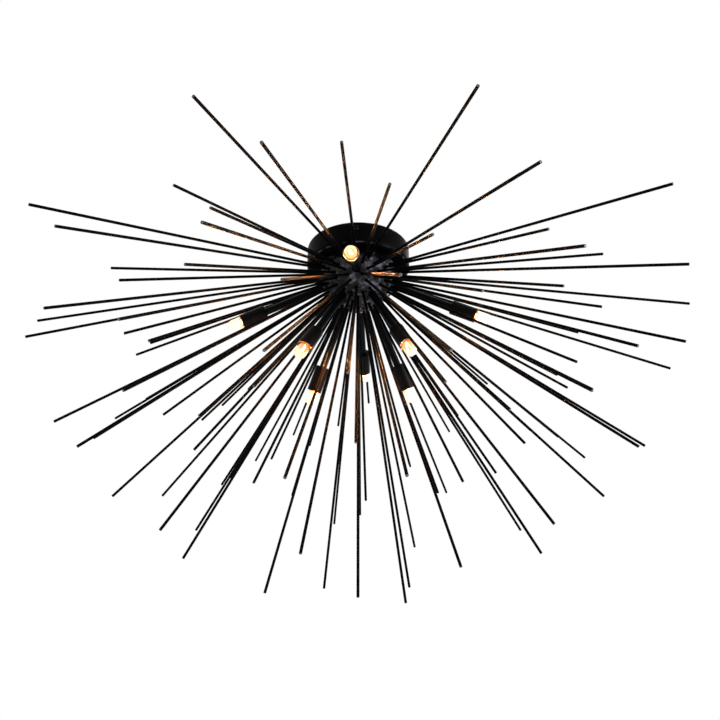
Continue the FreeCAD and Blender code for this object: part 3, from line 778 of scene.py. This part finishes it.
# Two pin capsule: a flat pinch that swells into a round bulb as a quarter ellipse, a low dome and a
# sealed pip at its end, round a hollow with a dome of its own.
def capsuleShape(start, end, radius):
    size = capsuleSizes
    sides = size["sides"]
    shoulder = size["shoulder"]
    edge = size["pinchEdge"]
    bulbStart = start + size["pinchLength"]
    swell = np.linspace(0.0, 1.0, size["swellRows"])
    bulge = np.sqrt(1 - (1 - swell) ** 2)
    domeRise = radius * size["domeShare"]
    domeStart = end - radius
    lean = np.radians(np.linspace(0, size["domeLean"], size["domeRows"]))
    dome = np.stack([radius * np.cos(lean), domeStart + domeRise * np.sin(lean)], 1)
    tipStart = domeStart + domeRise
    pip = size["pipRadius"]
    neck = outline(dome, (pip, tipStart - size["pipSink"]), (pip * size["pipWaist"], (tipStart + end) / 2),
                   (pip * size["pipShoulder"], end - size["pipRound"]), (0, end))
    pinch = [start, start, start + edge]
    height = np.concatenate([pinch, bulbStart + shoulder * swell, neck[:, 1]])
    width, depth = [
        np.concatenate([[0, half - edge, half], half + (radius - half) * bulge, neck[:, 0]])
        for half in (size["pinchWidth"] / 2, size["pinchThick"] / 2)
    ]
    square = np.concatenate([np.full(len(pinch), size["square"]),
                             size["square"] + (2 - size["square"]) * bulge, np.full(len(neck), 2.0)])
    outside = shapeOf(oblongGrid(height, width, depth, square, sides))
    inner = radius - size["wall"]
    floor = bulbStart + size["wall"]
    innerDome = arcPoints((0, 0), 1.0, 90, 0, size["hollowRows"])
    innerDome = innerDome * [inner, domeRise - size["wall"]] + [0, domeStart]
    wallHeights = np.linspace(domeStart, floor + shoulder, size["hollowRows"])[1:]
    innerBend = arcPoints((inner - shoulder, floor + shoulder), shoulder, 0, -90, size["bendRows"])
    hollow = outline(innerDome, np.stack([np.full(len(wallHeights), inner), wallHeights], 1),
                     innerBend[1:], (0, floor))
    hollow[0, 0] = 0.0
    marks = glowOf(hollow, floor, domeStart, domeRise)
    return joined([outside, shapeOf(turnedGrid(hollow, sides), marks=marks)])


coilSizes = {
    "radius": 0.42, "wire": 0.15, "width": 5.0, "height": 8.0, "depth": 1.8, "cadRadius": 0.7,
    "turns": 60, "stepsPerTurn": 10, "sides": 5, "heatMargin": 0.08,
    "leadRadius": 0.3, "leadSpacing": 5.0, "leadSink": 2.0, "leadRows": 6, "leadSides": 10,
    "pinSpacing": 9.0, "pinHalf": 0.9, "pinWire": 0.4, "pinRoot": 2.4, "pinRows": 13, "pinSides": 12,
}


# Filament wound as a helix about a line bent like an M: across by t, up and down by cos of two turns,
# to and fro by sin of one turn. It stands on two lead wires, over two pins bent to loops below the
# pinch.
def filamentShape(start, pinchStart, coilHeight):
    size = coilSizes
    count = size["turns"] * size["stepsPerTurn"]
    share = np.linspace(0.0, 1.0, count)
    bent = np.stack([size["width"] * (share - 0.5), size["depth"] * np.sin(math.tau * share),
                     coilHeight - size["height"] / 2 * np.cos(2 * math.tau * share)], 1)
    along = np.gradient(bent, axis=0)
    along /= np.linalg.norm(along, axis=1, keepdims=True)
    sideways = np.array([0.0, 1.0, 0.0])
    normal = np.cross(along, sideways)
    normal /= np.linalg.norm(normal, axis=1, keepdims=True)
    turn = math.tau * size["turns"] * share[:, None]
    radial = normal * np.cos(turn) + np.cross(along, normal) * np.sin(turn)
    heat = np.sin(math.pi * np.linspace(size["heatMargin"], 1 - size["heatMargin"], count + 2))
    coil = tubeGrid(bent + size["radius"] * radial, radial, size["wire"], size["sides"])
    shapes = [shapeOf(capped(coil), marks=heat)]
    leadStart = pinchStart + capsuleSizes["pinchLength"] - size["leadSink"]
    leadHeights = np.linspace(leadStart, coilHeight - size["height"] / 2, size["leadRows"])
    bendAngle = np.linspace(math.pi, math.tau, size["pinRows"])
    bend = np.stack([np.cos(bendAngle), np.zeros(len(bendAngle)), np.sin(bendAngle)], 1)
    loopHeight = start + size["pinHalf"] + size["pinWire"]
    pinTop = pinchStart + size["pinRoot"]
    for side in (-0.5, 0.5):
        lead = leadHeights[:, None] * [0.0, 0.0, 1.0] + [side * size["leadSpacing"], 0, 0]
        leadTube = tubeGrid(lead, sideways, size["leadRadius"], size["leadSides"])
        shapes.append(shapeOf(capped(leadTube), finish=1))
        loop = size["pinHalf"] * bend + [side * size["pinSpacing"], 0, loopHeight]
        pin = outline((loop[0, 0], 0, pinTop), loop, (loop[-1, 0], 0, pinTop))
        pinTube = tubeGrid(pin, sideways, size["pinWire"], size["pinSides"])
        shapes.append(shapeOf(capped(pinTube), finish=1))
    return joined(shapes)


for place, way in lampWays.items():
    label = place.title().replace("_", "")
    sleeveStart, sleeveEnd, sleeveRadius = reachOf("lamp_sleeve_" + place, way)
    armEnd, armRadius = reachOf("lamp_arm_" + place, way)[1:]
    glassStart, glassEnd, glassRadius = reachOf("bulb_glass_" + place, way)
    pinStart, coilEnd = reachOf("bulb_filament_" + place, way)[:2]
    coilHeight = coilEnd - coilSizes["cadRadius"]
    arm = armShape(armEnd, armRadius, sleeveStart)
    makePiece("lampArm" + label, aimed(arm, way), [lampPaint], "fixture",
              ["lamp_arm_" + place])
    sleeve = sleeveShape(sleeveStart, sleeveEnd, sleeveRadius)
    makePiece("lampSleeve" + label, aimed(sleeve, way), [lampPaint, sleeveSoot], "fixture",
              ["lamp_sleeve_" + place])
    capsule = capsuleShape(glassStart, glassEnd, glassRadius)
    makePiece("bulbCapsule" + label, aimed(capsule, way), [capsuleGlass], "bulb_" + place,
              ["bulb_glass_" + place], "glow")
    filament = filamentShape(pinStart, glassStart, coilHeight)
    makePiece("bulbFilament" + label, aimed(filament, way), [glowWire, pinSteel], "bulb_" + place,
              ["bulb_filament_" + place], "glow")
print("lamps:", len(lampWays))


# Nipple and nuts, seen from above through the canopy's open back

nippleSizes = {"bore": 3.25, "pitch": 1.0, "depth": 0.55, "rowsPerTurn": 8, "sides": 48}


# Threaded pipe: the outer radius falls by half the depth times one less the cosine of the phase, which
# is a turn for each pitch of height, less the angle.
def nippleShape():
    size = nippleSizes
    low, high = cornersOf("nipple")
    rows = int((high[2] - low[2]) / size["pitch"] * size["rowsPerTurn"])
    height = np.linspace(low[2], high[2], rows)[:, None]
    angle = anglesOf(size["sides"])
    phase = math.tau * height / size["pitch"] - angle
    radius = high[0] - size["depth"] * 0.5 * (1 - np.cos(phase))
    bore = turnedGrid(outline((size["bore"], high[2]), (size["bore"], low[2])), size["sides"])
    return shapeOf(np.concatenate([polarGrid(radius, angle, height), bore]), ringed=True)


nutSizes = {
    "width": 15.0, "height": 5.0, "hole": 5.05, "floors": (5.4, -5.0), "sides": 96,
    "chamfer": 0.8, "endShare": 0.97, "flatShare": 1.16,
}


# Hexagon nut: the radius at an angle is the half width over the cosine of the angle to the nearest
# flat, cut by a cone at both ends.
def nutShape(floor):
    size = nutSizes
    angle = anglesOf(size["sides"])
    toFlat = np.abs((angle + math.pi / 6) % (math.pi / 3) - math.pi / 6)
    inscribed = size["width"] / 2
    sixSided = inscribed / np.cos(toFlat)
    endRing = np.minimum(sixSided, inscribed * size["endShare"])
    flatRing = np.minimum(sixSided, inscribed * size["flatShare"])
    hole = np.full(size["sides"], size["hole"])
    top = floor + size["height"]
    chamfer = size["chamfer"]
    radii = np.stack([hole, endRing, flatRing, flatRing, endRing, hole])
    heights = np.array([floor, floor, floor + chamfer, top - chamfer, top, top])[:, None]
    return lifted(shapeOf(polarGrid(radii, angle, heights), ringed=True), hubCentre[2])


makePiece("nippleThread", nippleShape(), [threadBrass], "fixture", ["nipple"], crease=60)
makePiece("nippleNuts", joined([nutShape(floor) for floor in nutSizes["floors"]]), [zincPlate], "fixture",
          ["nipple_nuts"], crease=20)
print("nipple and nuts")


# Nodes that keep their solids and get a finish

keptFinishes = {
    "mounting_bar": zincPlate, "nipple_washer": zincPlate, "hub_plate": zincPlate,
    "hub_plate_screws": zincPlate, "arm_nuts": zincPlate,
    "ground_screw": groundPaint, "canopy_side_screws": lampPaint,
}
for place in lampWays:
    keptFinishes["lamp_holder_" + place] = holderCeramic
for node, finish in keptFinishes.items():
    frame["nodes"][node].data.materials.clear()
    frame["nodes"][node].data.materials.append(finish)
print("kept nodes:", len(keptFinishes))


# Studio: white surround, pale floor, four soft boxes

studio = {
    "roomLight": 0.85, "floorDrop": 1.25, "floorHalf": 5.0,
    "floorLow": rgb(0.80, 0.80, 0.80), "floorHigh": rgb(0.84, 0.84, 0.84),
    "floorScale": 1.5, "floorRough": 0.7,
    "boxes": [           # name, place in metres, side in metres, watts, colour
        ("softRight", (2.2, -0.7, -0.1), 1.4, 75.0, (0.84, 0.91, 1.0)),
        ("softLeft", (-2.1, -0.9, -0.5), 1.4, 8.0, (1.0, 1.0, 1.0)),
        ("softBack", (0.6, 2.0, 0.9), 1.6, 22.0, (1.0, 1.0, 1.0)),
        ("softLow", (0.35, -0.75, -1.15), 0.5, 5.0, (1.0, 1.0, 1.0)),
    ],
}


# White to the eye, in reflections and through glass, and at the room's level as light.
def makeSurround():
    world = bpy.data.worlds.new("whiteSurround")
    scene.world = world
    world.use_nodes = True
    tree = world.node_tree
    tree.nodes.clear()
    path = tree.nodes.new("ShaderNodeLightPath").outputs
    seen = sums(tree, "MAXIMUM", path["Is Camera Ray"], path["Is Glossy Ray"])
    seen = sums(tree, "MAXIMUM", seen, path["Is Transmission Ray"])
    level = studio["roomLight"]
    colour = mixColour(tree, seen, rgb(level, level, level), rgb(1.0, 1.0, 1.0))
    background = addNode(tree, "ShaderNodeBackground", {"Color": colour, "Strength": 1.0})
    addNode(tree, "ShaderNodeOutputWorld", {"Surface": background.outputs[0]})


def makeFloor():
    material, tree, shader = newMaterial("paleFloor")
    cloud = noise(tree, objectPlace(tree), studio["floorScale"], detail=3.0)
    tone = mixColour(tree, cloud, studio["floorLow"], studio["floorHigh"])
    tree.links.new(tone, shader["Base Color"])
    shader["Roughness"].default_value = studio["floorRough"]
    half = studio["floorHalf"]
    drop = -studio["floorDrop"]
    corners = [(-half, -half, drop), (half, -half, drop), (half, half, drop), (-half, half, drop)]
    mesh = bpy.data.meshes.new("floor")
    mesh.from_pydata(corners, [], [(0, 1, 2, 3)])
    mesh.materials.append(material)
    floor = bpy.data.objects.new("floor", mesh)
    scene.collection.objects.link(floor)


def makeSoftBoxes():
    target = Vector(hubCentre * mm)
    for name, place, side, watts, colour in studio["boxes"]:
        lamp = bpy.data.lights.new(name, "AREA")
        lamp.size = side
        lamp.energy = watts
        lamp.color = colour
        box = bpy.data.objects.new(name, lamp)
        box.location = place
        box.rotation_euler = (target - Vector(place)).to_track_quat("-Z", "Y").to_euler()
        box.visible_camera = False
        scene.collection.objects.link(box)


makeSurround()
makeFloor()
makeSoftBoxes()
print("studio")


# Camera

view = {
    "focalPixels": 936.0, "imageSide": 720.0, "sensor": 36.0, "clipEnd": 50.0,
    "distance": 1.166, "below": 32.6, "azimuth": 3.1,    # metres and degrees from the hub's centre
    "hubPixel": (358.3, 273.5),
}


# An upright camera that sees the hub's centre at its pixel: the turn and the tilt that carry the
# line to the hub to the pixel's line.
def makeCamera():
    below = math.radians(view["below"])
    azimuth = math.radians(view["azimuth"])
    toCamera = Vector(waysAt(view["below"], [view["azimuth"]])[0])
    half = view["imageSide"] / 2
    across = (view["hubPixel"][0] - half) / view["focalPixels"]
    up = (half - view["hubPixel"][1]) / view["focalPixels"]
    length = math.sqrt(1 + across ** 2 + up ** 2)
    side = math.asin(across / length / math.cos(below))
    level = math.cos(below) * math.cos(side)
    rise = math.sin(below)
    tilt = math.atan2(rise, level) - math.asin(up / length / math.hypot(level, rise))
    heading = -azimuth - side                            # from +Y towards +X
    data = bpy.data.cameras.new("photoView")
    data.sensor_width = view["sensor"]
    data.lens = view["focalPixels"] / view["imageSide"] * view["sensor"]
    data.clip_end = view["clipEnd"]
    camera = bpy.data.objects.new("photoView", data)
    camera.location = Vector(hubCentre * mm) + toCamera * view["distance"]
    camera.rotation_euler = (math.pi / 2 + tilt, 0.0, -heading)
    scene.collection.objects.link(camera)
    scene.camera = camera


makeCamera()
print("camera")
